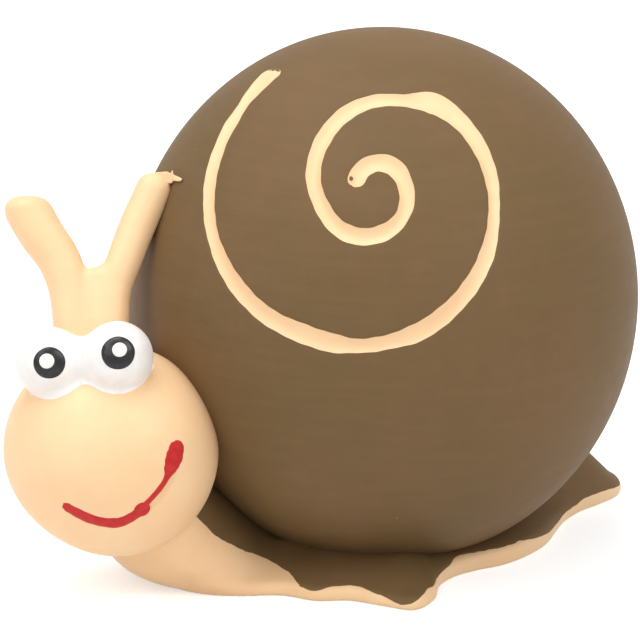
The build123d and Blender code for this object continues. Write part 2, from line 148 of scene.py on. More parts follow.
# width of the strip as a share of the groove's
strip_width_share = 1.03
spiral_step, width_wave, groove_shoulder, groove_wander = 0.45, 0.03, 0.1, 0.12
strip_sides, strip_edge, channel_depth, channel_run_out = 28, -0.04, 0.62, 5.0
# rounds of subdivision of the shell's globe, reach of finer faces by the grooves, angle of a sharp edge
globe_rounds, fine_reaches, sharp_angle = 6, (4.2, 3.2, 2.4), radians(50)
# distance along the spiral, then half width of its hand-cut groove and how far it strays outwards there
groove_shape = (
    (0, 1.3, -0.25), (4, 1.45, -0.25), (7, 1.45, -0.2), (10, 1.2, -0.2), (14, 1.05, 0.1), (17, 1.1, 0.15),
    (20, 1.3, 0.0), (26, 1.25, -0.1), (30, 1.1, 0.0), (35, 1.1, 0.45), (42, 1.3, 0.3), (48, 1.4, 0.35),
    (52, 1.3, 0.1), (55, 1.2, -0.4), (57.5, 1.4, -0.4), (60.5, 2.45, 0.55), (63.5, 1.8, 0.2), (67, 1.5, 0.0),
    (74, 1.2, -0.05), (78, 0.98, -0.15), (81, 0.85, -0.25), (84, 1.0, -0.15), (88, 1.2, 0.0), (97, 1.28, 0.1),
    (103, 1.4, 0.3), (107, 1.1, 0.15), (112, 1.0, 0.25), (116, 1.45, 0.15), (120, 1.48, 0.1), (127, 1.3, 0.6),
    (135, 1.28, 0.56), (143, 1.02, 0.36), (146, 1.15, 0.22), (149, 1.15, 0.05), (152, 1.3, -0.02),
    (155, 1.3, -0.25), (158, 1.25, -0.35), (161, 1.5, -0.38), (163, 1.4, -0.38), (164.6, 1.05, -0.3),
    (166, 1.35, -0.05), (168.2, 1.75, 0.2), (170.2, 2.1, 0.6), (171.9, 2.2, 1.2),
)


# Curves


def flowing(points, count, closed=False):
    """Points at even steps of a smooth line through the given rows."""
    rows = np.asarray(points, float)
    if closed:
        rows = np.vstack((rows[-1], rows, rows[0], rows[1]))
    else:
        rows = np.vstack((2 * rows[0] - rows[1], rows, 2 * rows[-1] - rows[-2]))
    spans = len(rows) - 3
    at = np.linspace(0, spans, count, endpoint=not closed)
    first = np.minimum(at.astype(int), spans - 1)
    t = (at - first)[:, None]
    a, b, c, d = (rows[first + i] for i in range(4))
    return 0.5 * (2 * b + (c - a) * t + (2 * a - 5 * b + 4 * c - d) * t**2 + (3 * b - a - 3 * c + d) * t**3)


def turned(vectors, axis, angle):
    """Vectors turned about a unit axis."""
    along = np.multiply.outer(vectors @ axis, axis)
    return along + (vectors - along) * cos(angle) + np.cross(axis, vectors) * sin(angle)


def unit(vector):
    """A vector of length one."""
    return vector / np.linalg.norm(vector)


def eased(values, reach):
    """Values averaged with their neighbours on both sides."""
    count = 2 * reach + 1
    return np.convolve(np.pad(values, reach, mode="edge"), np.full(count, 1 / count), "valid")


def spiral_line(step):
    """Points of the spiral on a ball of radius one, from its inner end outwards."""
    center = np.array((
        sin(spiral_bearing) * cos(spiral_rise), -cos(spiral_bearing) * cos(spiral_rise), sin(spiral_rise),
    ))
    across = np.array((cos(spiral_bearing), sin(spiral_bearing), 0.0))
    upward = np.cross(center, across)
    first = radians(spiral_arcs[0][0])
    place = center * cos(first) + (across * cos(spiral_start) + upward * sin(spiral_start)) * sin(first)
    points = [place]
    for opening, sweep in spiral_arcs:
        center = turned(place, unit(np.cross(place, center)), radians(opening))
        count = max(4, int(sin(radians(opening)) * radians(sweep) * shell_radius / step))
        points += [turned(place, center, -radians(sweep) * i / count) for i in range(1, count + 1)]
        place = points[-1]
    return np.array(points)


def groove_paths():
    """Centre line on the shell and half width of the left and the right groove."""
    line = spiral_line(spiral_step)
    run = np.linalg.norm(np.diff(line, axis=0), axis=1) * shell_radius
    along = np.concatenate(((0,), np.cumsum(run)))
    at, *rows = np.array(groove_shape).T
    width, stray = (eased(np.interp(along, at, row), 3) for row in rows)
    width += width_wave * np.sin(along * 1.1) + width_wave * np.sin(along * 2.3 + 1)
    outwards = np.cross(line, np.gradient(line, axis=0))
    outwards /= np.linalg.norm(outwards, axis=1)[:, None]
    left = line + outwards * (stray / shell_radius)[:, None]
    left /= np.linalg.norm(left, axis=1)[:, None]
    used = along < at[-1]
    left, width = left[used], width[used]
    right = turned(left * (1, -1, 1), np.array((0.0, 0.0, 1.0)), right_spiral_turn)
    right = turned(right, np.array((1.0, 0.0, 0.0)), right_spiral_tilt)
    return (shell_middle + left * shell_radii, width), (shell_middle + right * shell_radii, width)


def with_round_ends(path, width, blunt):
    """The line made longer at both ends, where it narrows to a round inner and a blunt outer end."""
    first_turn, last_turn, steps = 0.15, 1.5, 9
    turn = np.linspace(first_turn, last_turn, steps)
    narrow = np.cos(turn)
    inner = path[0] + unit(path[0] - path[1]) * (np.sin(turn) * width[0])[:, None]
    outer = path[-1] + unit(path[-1] - path[-2]) * (np.sin(turn) * width[-1] * blunt)[:, None]
    points = np.vstack((inner[::-1], path, outer))
    return points, np.concatenate((narrow[::-1] * width[0], width, narrow * width[-1]))


# The moulded rubber body as smooth forms


def merge(a, b, width):
    """Joins two forms given as distances, with a fillet of about that width."""
    share = np.clip(0.5 + 0.5 * (b - a) / width, 0, 1)
    return b + (a - b) * share - width * share * (1 - share)


def common(a, b, width):
    """What two forms share, with a rounded edge."""
    return -merge(-a, -b, width)


def shell_gap(p):
    """Distance from the outside of the shell."""
    q = (p - shell_middle) / shell_radii
    size = np.linalg.norm(q, axis=1)
    return size * (size - 1) / np.linalg.norm(q / shell_radii, axis=1)


def line_gap(p, stations):
    """Distance from a bent limb whose rows hold a place and a radius."""
    best = np.full(len(p), np.inf)
    for a, b in zip(stations[:-1], stations[1:]):
        run = b[:3] - a[:3]
        t = np.clip(((p - a[:3]) @ run) / (run @ run), 0, 1)
        gap = np.linalg.norm(p - a[:3] - t[:, None] * run, axis=1) - (a[3] + (b[3] - a[3]) * t)
        best = np.minimum(best, gap)
    return best


def limb_rows(stations, count):
    """Places and radii along a limb that is given on the face."""
    rows = [(*on_face(*place), radius) for *place, radius in stations]
    return flowing(rows, count)


limb_steps, web_steps, fold_steps = 15, 5, 13
left_limb, right_limb = limb_rows(left_tentacle, limb_steps), limb_rows(right_tentacle, limb_steps)
web_limb = limb_rows(tentacle_web, web_steps)


def on_ball(rows):
    """Places on the head's ball of rows that begin with across and up on the face."""
    ahead = np.sqrt(np.maximum(0, 1 - rows[:, 0] ** 2 - rows[:, 1] ** 2))
    return np.array([on_face(*row) for row in np.column_stack((rows[:, :2], ahead))])


fold_rows = flowing(fold, fold_steps)
fold_limb = np.column_stack((on_ball(fold_rows), fold_rows[:, 2]))

half_outline = [(x * foot_half_length, y * foot_half_width) for x, y in outline_shares]
rim_loop = flowing(half_outline + [(x, -y) for x, y in reversed(half_outline[1:-1])], rim_points, closed=True)
rim_bearing = np.arctan2(rim_loop[:, 1], rim_loop[:, 0])
rim_order = np.argsort(rim_bearing)
rim_bearing, rim_reach = rim_bearing[rim_order], np.hypot(*rim_loop.T)[rim_order]
rim_lean = np.gradient(rim_reach) / np.gradient(rim_bearing)


def around(p):
    """Bearing, distance from the middle, reach of the rim there and how fast the reach changes."""
    bearing = np.arctan2(p[:, 1], p[:, 0])
    reach = np.interp(bearing, rim_bearing, rim_reach, period=2 * pi)
    lean = np.interp(bearing, rim_bearing, rim_lean, period=2 * pi)
    return bearing, np.hypot(p[:, 0], p[:, 1]), reach, lean


def sole_round(p):
    """Rounding of the lower edge, which is larger under the neck."""
    return sole_edge + neck_edge_round * np.clip((neck_start - p[:, 0]) / neck_run, 0, 1)


def skirt_gap(p):
    """Frilled skirt: an upright rim with a rounded edge, rising to the shell, and the hump of the tail."""
    bearing, distance, reach, lean = around(p)
    outside = (distance - reach) / np.sqrt(1 + (lean / np.maximum(distance, least_reach)) ** 2)
    rim_top = np.clip(rim_height - rim_fall * (reach - rim_mean_reach), rim_lowest, rim_highest)
    rim_top += rim_wave * np.sin(rim_waves * bearing + rim_wave_start)
    slope = p[:, 2] - rim_top - skirt_rise * np.clip(reach - distance, 0, skirt_width)
    hump = np.hypot((p[:, 0] - tail_place) / tail_length, p[:, 1] / tail_width)
    tail = (p[:, 2] - tail_low - (1 - hump) * tail_rise) * tail_steepness
    upper = merge(slope, tail, tail_round)
    return common(common(outside, upper, rim_round), -p[:, 2], sole_round(p))


def neck_gap(p):
    """Neck from the sole to the head, wider near the ground."""
    squeezed = p.copy()
    squeezed[:, 1] = p[:, 1] / np.clip(neck_spread - neck_spread_fall * p[:, 2], 1, neck_spread)
    return common(line_gap(squeezed, neck_rows), -p[:, 2], sole_round(p))


cheek_flat = unit(cheek_across * face_right + cheek_up * face_up)


def ball_gap(p):
    """Ball of the head, a little flat at the cheek."""
    away = p - head_middle
    size = np.linalg.norm(away, axis=1)
    flat = np.clip(away @ cheek_flat / np.maximum(size, 1), 0, 1) ** 4
    return size - head_radius + cheek_depth * flat


def head_gap(p):
    """The head with the fold beside its smile."""
    return common(ball_gap(p), -line_gap(p, fold_limb), fold_round)


def eyes_gap(p):
    """Two eye balls that run into each other."""
    left = np.linalg.norm(p - left_eye_middle, axis=1) - eye_radius
    right = np.linalg.norm(p - right_eye_middle, axis=1) - eye_radius
    return merge(left, right, eye_join)


def right_feeler_gap(p):
    """Right tentacle, with a blunt flat tip."""
    tip = (p - head_middle) @ face_up - right_tip * head_radius
    return common(line_gap(p, right_limb), tip, tip_round)


def feelers_gap(p):
    """Both tentacles and the web between their roots."""
    pair = merge(line_gap(p, left_limb), right_feeler_gap(p), tentacle_join)
    return merge(pair, line_gap(p, web_limb), web_round)


def face_gap(p):
    """Head, eyes and tentacles in one."""
    return merge(merge(head_gap(p), eyes_gap(p), eye_round), feelers_gap(p), tentacle_round)


def base_gap(p):
    """Skirt and neck in one, flat on the ground."""
    return np.maximum(merge(skirt_gap(p), neck_gap(p), neck_round), -p[:, 2])


def grain(p, size, seed):
    """Smooth wandering value between about -1 and 1."""
    wander = np.random.default_rng(seed)
    value = np.zeros(len(p))
    for scale, weight in ((1.0, 0.6), (2.3, 0.4), (4.1, 0.25)):
        for _ in range(4):
            direction = wander.normal(size=3)
            direction *= scale * 2 * pi / (size * np.linalg.norm(direction))
            value += weight * 0.5 * np.sin(p @ direction + wander.uniform(0, 2 * pi))
    return value


def wandering(p, waves):
    """How far a hand-painted edge strays."""
    return sum(stray * grain(p, size, seed) for stray, size, seed in waves)


# Meshes


def slope_of(p, field):
    """Unit outward direction of a form at the given points, and the size of its slope."""
    near = 0.04
    slope = np.empty_like(p)
    for axis in range(3):
        shift = np.zeros(3)
        shift[axis] = near
        slope[:, axis] = (field(p + shift) - field(p - shift)) / (2 * near)
    size = np.maximum(np.linalg.norm(slope, axis=1), 1e-6)
    return slope / size[:, None], size


def settle(p, field, rounds):
    """Moves points onto the surface of a form."""
    flattest, longest = 0.35, 0.5
    for _ in range(rounds):
        direction, size = slope_of(p, field)
        move = np.clip(field(p) / np.maximum(size, flattest), -longest, longest)
        p = p - direction * move[:, None]
    return p


def laid_on(p, direction, field, rounds=6):
    """Moves points along a direction onto the surface of a form."""
    near, flattest = 0.04, 0.3
    for _ in range(rounds):
        rate = (field(p + direction * near) - field(p - direction * near)) / (2 * near)
        p = p - direction * np.clip(field(p) / np.maximum(rate, flattest), -1, 1)[:, None]
    return p


def surface_net(field, low, high, step):
    """Points and four-sided faces of a form's surface inside a box, one point in each crossed cell."""
    counts = np.ceil((np.asarray(high) - low) / step).astype(int) + 1
    axes = [low[i] + step * np.arange(counts[i]) for i in range(3)]
    grid = np.stack(np.meshgrid(*axes, indexing="ij"), -1).reshape(-1, 3)
    value = np.concatenate([field(part) for part in np.array_split(grid, 12)]).reshape(counts)
    cells = counts - 1
    total = np.zeros((*cells, 3))
    hits = np.zeros(cells)
    edges = []
    for axis in range(3):
        start = [slice(None)] * 3
        end = [slice(None)] * 3
        start[axis], end[axis] = slice(None, -1), slice(1, None)
        a, b = value[tuple(start)], value[tuple(end)]
        crossed = np.argwhere((a < 0) != (b < 0))
        one, two = (axis + 1) % 3, (axis + 2) % 3
        inner = (crossed[:, one] > 0) & (crossed[:, two] > 0)
        inner &= (crossed[:, one] < cells[one]) & (crossed[:, two] < cells[two])
        crossed = crossed[inner]
        va, vb = a[tuple(crossed.T)], b[tuple(crossed.T)]
        point = crossed.astype(float)
        point[:, axis] += va / (va - vb)
        around_edge = []
        for d1, d2 in ((0, 0), (1, 0), (1, 1), (0, 1)):
            cell = crossed.copy()
            cell[:, one] -= d1
            cell[:, two] -= d2
            np.add.at(total, tuple(cell.T), point)
            np.add.at(hits, tuple(cell.T), 1)
            around_edge.append(np.ravel_multi_index(tuple(cell.T), cells))
        quad = np.stack(around_edge, 1)
        quad[va > 0] = quad[va > 0][:, ::-1]
        edges.append(quad)
    quads = np.vstack(edges)
    used, quads = np.unique(quads, return_inverse=True)
    points = total.reshape(-1, 3)[used] / hits.reshape(-1)[used][:, None]
    return np.asarray(low) + points * step, quads.reshape(-1, 4)


def even_out(points, quads, field, rounds):
    """Evens the spacing of a net's points along the surface."""
    kept_share = 0.4
    pairs = np.vstack([quads[:, (i, (i + 1) % 4)] for i in range(4)])
    for _ in range(rounds):
        total, count = np.zeros_like(points), np.zeros(len(points))
        np.add.at(total, pairs[:, 0], points[pairs[:, 1]])
        np.add.at(count, pairs[:, 0], 1)
        points = settle(points * kept_share + (1 - kept_share) * total / count[:, None], field, 1)
    return points


def halved(points, quads):
    """Splits each four-sided face into four."""
    pairs = np.vstack([np.sort(quads[:, (i, (i + 1) % 4)], axis=1) for i in range(4)])
    edges, where = np.unique(pairs, axis=0, return_inverse=True)
    where = where.reshape(4, -1).T + len(points)
    middles = points[edges].mean(1)
    centers = points[quads].mean(1)
    center = np.arange(len(quads)) + len(points) + len(edges)
    parts = [np.stack((quads[:, i], where[:, i], center, where[:, i - 1]), 1) for i in range(4)]
    return np.vstack((points, middles, centers)), np.vstack(parts)


def form_skin(field, low, high, step):
    """Fine triangle skin of a form inside a box."""
    points, quads = surface_net(field, np.asarray(low, float), np.asarray(high, float), step)
    points = even_out(settle(points, field, 2), quads, field, 2)
    points, quads = halved(points, quads)
    points = settle(points, field, 3)
    return points, np.vstack((quads[:, (0, 1, 2)], quads[:, (0, 2, 3)]))


def kept_part(points, faces, side):
    """The part of a triangle skin where side is above 0, cut cleanly along its edge."""
    inside = side > 0
    count = inside[faces].sum(1)
    parts = [faces[count == 3]]
    cuts, ends = [], []
    for wanted in (1, 2):
        mixed = faces[count == wanted]
        odd = np.argmax(inside[mixed] == (wanted == 1), axis=1)
        rows = np.arange(len(mixed))
        a, b, c = (mixed[rows, (odd + i) % 3] for i in range(3))
        cuts.append((wanted, a, b, c))
        ends += [np.stack((a, b), 1), np.stack((a, c), 1)]
    edges, where = np.unique(np.sort(np.vstack(ends), axis=1), axis=0, return_inverse=True)
    where = where.reshape(-1) + len(points)
    share = side[edges[:, 0]] / (side[edges[:, 0]] - side[edges[:, 1]])
    fresh = points[edges[:, 0]] + (points[edges[:, 1]] - points[edges[:, 0]]) * share[:, None]
    at = 0
    for wanted, a, b, c in cuts:
        ab, ac = where[at:at + len(a)], where[at + len(a):at + 2 * len(a)]
        at += 2 * len(a)
        if wanted == 1:
            parts.append(np.stack((a, ab, ac), 1))
        else:
            parts += [np.stack((b, c, ac), 1), np.stack((b, ac, ab), 1)]
    faces = np.vstack(parts)
    used, faces = np.unique(faces, return_inverse=True)
    return np.vstack((points, fresh))[used], faces.reshape(-1, 3)


def largest_part(points, faces):
    """The largest connected part of a skin, without loose crumbs."""
    label = np.arange(len(points))
    while True:
        lowest = label.copy()
        for i in range(3):
            np.minimum.at(lowest, faces[:, i], label[faces[:, i - 1]])
            np.minimum.at(lowest, faces[:, i - 1], label[faces[:, i]])
        lowest = lowest[lowest]
        if (lowest == label).all():
            break
        label = lowest
    names, sizes = np.unique(label[faces[:, 0]], return_counts=True)
    faces = faces[label[faces[:, 0]] == names[np.argmax(sizes)]]
    used, faces = np.unique(faces, return_inverse=True)
    return points[used], faces.reshape(-1, 3)


def closed_sheet(top, under, faces):
    """Points and faces of a sheet between two skins: both sides, and a wall along the rim."""
    count = len(top)
    pairs = np.vstack([faces[:, (i, (i + 1) % 3)] for i in range(3)])
    _, where, number = np.unique(np.sort(pairs, axis=1), axis=0, return_inverse=True, return_counts=True)
    rim = pairs[number[where.reshape(-1)] == 1]
    walls = np.stack((rim[:, 1], rim[:, 0], rim[:, 0] + count, rim[:, 1] + count), 1)
    return np.vstack((top, under)), faces.tolist() + (faces[:, ::-1] + count).tolist() + walls.tolist()


def thickened(points, faces, depth, field):
    """A closed skin of that thickness under the surface, and the normals of its points."""
    least_height = 0.2
    normals, _ = slope_of(points, field)
    inner = points - normals * depth
    inner[:, 2] = np.maximum(inner[:, 2], np.minimum(points[:, 2], least_height))
    return *closed_sheet(points, inner, faces), np.vstack((normals, -normals))


def lattice(rows, columns, wrap=False):
    """Triangles of a net whose points are numbered row by row, joined round at its sides if it wraps."""
    step = np.arange(columns if wrap else columns - 1)
    start = np.arange(rows - 1)[:, None] * columns
    a, b = (start + step).ravel(), (start + (step + 1) % columns).ravel()
    return np.vstack((np.stack((a, a + columns, b + columns), 1), np.stack((a, b + columns, b), 1)))


def disc_faces(rings, sides):
    """Triangles of a round net: a middle point, then rings of points from the middle out."""
    step = np.arange(sides)
    fan = np.stack((0 * step, 1 + step, 1 + (step + 1) % sides), 1)
    return np.vstack((fan, 1 + lattice(rings, sides, wrap=True)))


def placed(name, data):
    """A new object in the scene."""
    made = bpy.data.objects.new(name, data)
    bpy.context.scene.collection.objects.link(made)
    return made


def mesh_piece(name, points, faces, normals=None):
    """A smooth mesh object from points in millimetres."""
    mesh = bpy.data.meshes.new(name)
    mesh.from_pydata((np.asarray(points) * MM).tolist(), [], faces)
    mesh.polygons.foreach_set("use_smooth", np.ones(len(mesh.polygons), bool))
    if normals is not None:
        mesh.normals_split_custom_set_from_vertices(normals.tolist())
    mesh.update()
    return placed(name, mesh)


def finish_piece(piece, slot, *nodes):
    """Gives a piece the paint of its slot and ties it to the part."""
    if not piece.data.materials:
        piece.data.materials.append(paints[slot])
    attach(piece, "snail")
    if nodes:
        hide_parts(*nodes)


# Node trees


class Wire:
    """A value in a node tree that adds and multiplies like a number."""

    def __init__(self, tree, socket=None):
        self.tree, self.socket = tree, socket

    def plug(self, socket, value):
        """Links a socket to a value in the tree, or sets it to a plain one."""
        if isinstance(value, Wire):
            self.tree.links.new(value.socket, socket)
        else:
            socket.default_value = value

    def node(self, kind, settings=None, sockets=None, out=0):
        """Adds a node: its settings first, then the values or links of its sockets."""
        made = self.tree.nodes.new(kind)
        for name, value in (settings or {}).items():
            setattr(made, name, value)
        for name, value in (sockets or {}).items():
            self.plug(made.inputs[name], value)
        return Wire(self.tree, made.outputs[out] if made.outputs else None)

    def math(self, operation, *values):
        return self.node("ShaderNodeMath", {"operation": operation}, dict(enumerate(values)))

    def vector(self, operation, *values, out=0):
        return self.node("ShaderNodeVectorMath", {"operation": operation}, dict(enumerate(values)), out)

    def scaled(self, factor):
        """This vector times a number."""
        return self.node("ShaderNodeVectorMath", {"operation": "SCALE"}, {0: self, "Scale": factor})

    def __add__(self, other):
        return self.math("ADD", self, other)

    def __sub__(self, other):
        return self.math("SUBTRACT", self, other)

    def __rsub__(self, other):
        return self.math("SUBTRACT", other, self)

    def __mul__(self, other):
        return self.math("MULTIPLY", self, other)

    def __truediv__(self, other):
        return self.math("DIVIDE", self, other)

    def __rtruediv__(self, other):
        return self.math("DIVIDE", other, self)

    __radd__ = __add__
    __rmul__ = __mul__

    def ramp(self, low, high, first=0.0, last=1.0):
        """Goes smoothly from first to last while the value goes from low to high."""
        return self.node(
            "ShaderNodeMapRange", {"interpolation_type": "SMOOTHSTEP"},
            {"Value": self, "From Min": low, "From Max": high, "To Min": first, "To Max": last},
        )

    def pick(self, dark, light):
        """Mixes two colours by this value."""
        return self.node("ShaderNodeMix", {"data_type": "RGBA"}, {0: self, 6: dark, 7: light}, 2)


def noise(place, scale, detail=3.0, rough=0.55, stretch=(1, 1, 1)):
    """Cloudy value over a place in millimetres."""
    moved = place.vector("MULTIPLY", place, stretch)
    sockets = {"Vector": moved, "Scale": scale, "Detail": detail, "Roughness": rough}
    return place.node("ShaderNodeTexNoise", {}, sockets)


def material(name, paint, constants=None):
    """A material whose colour, roughness and relief come from a function of the place in millimetres."""
    made = bpy.data.materials.new(name)
    made.use_nodes = True
    tree = made.node_tree
    tree.nodes.clear()
    wire = Wire(tree)
    object_place = wire.node("ShaderNodeTexCoord", out=3)
    place = wire.vector("MULTIPLY", object_place, (1 / MM,) * 3)
    colour, roughness, relief, depth = paint(place)
    bump = wire.node("ShaderNodeBump", {}, {"Strength": 1.0, "Distance": depth * MM, "Height": relief})
    sockets = {**(constants or {}), "Base Color": colour, "Roughness": roughness, "Normal": bump}
    shader = wire.node("ShaderNodeBsdfPrincipled", {}, sockets)
    wire.node("ShaderNodeOutputMaterial", {}, {"Surface": shader})
    return made


def brown_paint(place):
    """Matt brown latex: cloudy olive and reddish brown with faint brush marks and a few pale specks."""
    cloud = noise(place, 0.04, 2.0)
    mottle = noise(place, 0.3, 4.0, 0.6)
    brush = noise(place, 0.8, 2.0, 0.5, (0.1, 0.1, 1.0))
    fine = noise(place, 2.6, 2.0)
    colour = cloud.ramp(0.35, 0.65).pick((0.16, 0.098, 0.0395, 1), (0.18, 0.104, 0.0455, 1))
    colour = mottle.ramp(0.35, 0.7, 0.3, 0.0).pick(colour, (0.131, 0.08, 0.033, 1))
    colour = (brush.ramp(0.35, 0.75) * 0.14).pick(colour, (0.217, 0.138, 0.062, 1))
    speck = noise(place, 0.9, 1.0, 0.4).ramp(0.82, 0.85)
    colour = (speck * 0.3).pick(colour, (0.42, 0.30, 0.18, 1))
    return colour, mottle.ramp(0.2, 0.8, 0.55, 0.68), mottle * 0.5 + brush * 0.3 + fine * 0.12, 0.14


def cream_paint(place):
    """Cream rubber: faint clouds, a little darker and warmer in places."""
    cloud = noise(place, 0.07, 3.0)
    mottle = noise(place, 0.45, 3.0)
    colour = cloud.ramp(0.3, 0.7).pick((0.935, 0.605, 0.335, 1), (0.955, 0.655, 0.38, 1))
    colour = (mottle.ramp(0.55, 0.8) * 0.25).pick(colour, (0.915, 0.57, 0.305, 1))
    speck = noise(place, 0.8, 1.0, 0.4).ramp(0.83, 0.86)
    colour = (speck * 0.4).pick(colour, (0.55, 0.34, 0.17, 1))
    return colour, mottle.ramp(0.2, 0.8, 0.42, 0.56), mottle + noise(place, 2.2, 2.0) * 0.25, 0.08


def white_paint(place):
    """White paint on the eyes, a little uneven, with a few dark flecks."""
    mottle = noise(place, 0.5, 3.0)
    colour = mottle.ramp(0.3, 0.7).pick((0.86, 0.825, 0.79, 1), (0.91, 0.885, 0.86, 1))
    fleck = noise(place, 1.2, 1.0, 0.4).ramp(0.82, 0.85)
    colour = (fleck * 0.4).pick(colour, (0.45, 0.35, 0.26, 1))
    return colour, mottle.ramp(0.2, 0.8, 0.34, 0.46), mottle, 0.05


def black_paint(place):
    """Black gloss paint of the pupils."""
    mottle = noise(place, 0.9, 3.0)
    colour = mottle.ramp(0.3, 0.75).pick((0.012, 0.011, 0.012, 1), (0.026, 0.024, 0.025, 1))
    return colour, mottle.ramp(0.2, 0.8, 0.2, 0.32), mottle, 0.03


def red_paint(place):
    """Red paint of the smile."""
    mottle = noise(place, 0.8, 4.0)
    colour = mottle.ramp(0.3, 0.7).pick((0.50, 0.014, 0.0135, 1), (0.58, 0.028, 0.025, 1))
    return colour, mottle.ramp(0.2, 0.8, 0.38, 0.5), mottle, 0.06


def plastic_paint(place):
    """White moulded plastic of the squeaker, with faint flow marks."""
    mottle = noise(place, 0.35, 3.0)
    swirl = noise(place, 0.15, 2.0, 0.6, (1, 1, 3))
    colour = mottle.ramp(0.3, 0.7).pick((0.74, 0.735, 0.70, 1), (0.83, 0.825, 0.79, 1))
    colour = (swirl.ramp(0.5, 0.75) * 0.3).pick(colour, (0.70, 0.68, 0.62, 1))
    return colour, mottle.ramp(0.2, 0.8, 0.4, 0.55), mottle + noise(place, 3.0) * 0.3, 0.03


def film_paint(place):
    """Smooth pale film of the reed."""
    mottle = noise(place, 1.2, 2.0)
    colour = mottle.ramp(0.3, 0.7).pick((0.72, 0.75, 0.73, 1), (0.80, 0.83, 0.80, 1))
    return colour, mottle.ramp(0.2, 0.8, 0.12, 0.25), mottle, 0.01


paints = {
    "brown_coat": material("brown_coat", brown_paint, {"Specular IOR Level": 0.2}),
    "cream_rubber": material("cream_rubber", cream_paint, {
        "Specular IOR Level": 0.4, "Subsurface Weight": 0.1, "Subsurface Radius": (1.0, 0.55, 0.3),
        "Subsurface Scale": 1.5 * MM,
    }),
    "white_enamel": material("white_enamel", white_paint),
    "black_enamel": material("black_enamel", black_paint, {
        "Specular IOR Level": 0.3, "Coat Weight": 0.08, "Coat Roughness": 0.3,
    }),
    "red_enamel": material("red_enamel", red_paint, {"Specular IOR Level": 0.25}),
    "squeaker_plastic": material("squeaker_plastic", plastic_paint),
    "reed_film": material("reed_film", film_paint),
}


# Shell with its grooves, and the cream spirals


def node_group(name, inputs):
    """A geometry tree with named inputs after its geometry, their identifiers, and wires from them."""
    tree = bpy.data.node_groups.new(name, "GeometryNodeTree")
    tree.interface.new_socket("Geometry", in_out="INPUT", socket_type="NodeSocketGeometry")
    tree.interface.new_socket("Geometry", in_out="OUTPUT", socket_type="NodeSocketGeometry")
    named = {}
    for label, kind in inputs:
        named[label] = tree.interface.new_socket(label, in_out="INPUT", socket_type=kind).identifier
    source = tree.nodes.new("NodeGroupInput")
    return tree, named, {socket.name: Wire(tree, socket) for socket in source.outputs}


def grown(piece, tree, settings):
    """The piece as its geometry tree makes it, as a plain mesh object of the same name."""
    modifier = piece.modifiers.new("grow", "NODES")
    modifier.node_group = tree
    for identifier, value in settings.items():
        modifier[identifier] = value
    bpy.context.view_layer.update()
    graph = bpy.context.evaluated_depsgraph_get()
    mesh = bpy.data.meshes.new_from_object(piece.evaluated_get(graph))
    name = piece.name
    bpy.data.objects.remove(piece)
    mesh.name = name
    return placed(name, mesh)


def close_tree(wire, geometry, slot):
    """Ends a tree: real geometry, smooth, with the paint of its slot."""
    real = wire.node("GeometryNodeRealizeInstances", {}, {0: geometry})
    smooth = wire.node("GeometryNodeSetShadeSmooth", {}, {"Geometry": real})
    painted = wire.node("GeometryNodeSetMaterial", {}, {"Geometry": smooth, "Material": paints[slot]})
    wire.node("NodeGroupOutput", {}, {0: painted})


def groove_tree():
    """Marks how far each place on a globe lies across a groove, and rounds the groove's shoulders."""
    tree, named, inlet = node_group("shell_grooves", (
        ("Guide", "NodeSocketObject"), ("Shoulder Depth", "NodeSocketFloat"),
        ("Edge Wander", "NodeSocketFloat"),
    ))
    wire = Wire(tree)
    unmoved = {"transform_space": "ORIGINAL"}
    guide = wire.node("GeometryNodeObjectInfo", unmoved, {0: inlet["Guide"]}, "Geometry")
    place = wire.node("GeometryNodeInputPosition")
    away = wire.node("GeometryNodeProximity", {"target_element": "EDGES"}, {0: guide}, "Distance")
    nearest = wire.node("GeometryNodeSampleNearest", {"domain": "POINT"}, {0: guide})
    width = wire.node("GeometryNodeInputNamedAttribute", {"data_type": "FLOAT"}, {"Name": "half_width"})
    width_there = wire.node(
        "GeometryNodeSampleIndex", {"data_type": "FLOAT", "domain": "POINT"},
        {"Geometry": guide, "Value": width, "Index": nearest},
    )
    in_mm = wire.vector("MULTIPLY", place, (1 / MM,) * 3)
    cloud = wire.node("ShaderNodeTexNoise", {}, {"Vector": in_mm, "Scale": 0.5, "Detail": 2.0})
    ragged = cloud - 0.5
    across = away / width_there + ragged * inlet["Edge Wander"]
    marked = wire.node(
        "GeometryNodeStoreNamedAttribute", {"data_type": "FLOAT", "domain": "POINT"},
        {"Geometry": inlet["Geometry"], "Name": "across", "Value": across},
    )
    shoulder_start, shoulder_end = 0.95, 1.3
    sunk = across.ramp(shoulder_start, shoulder_end, -1.0, 0.0) * inlet["Shoulder Depth"]
    shifted = wire.node("GeometryNodeInputNormal").scaled(sunk)
    moved = wire.node("GeometryNodeSetPosition", {}, {"Geometry": marked, "Offset": shifted})
    close_tree(wire, moved, "brown_coat")
    return tree, named


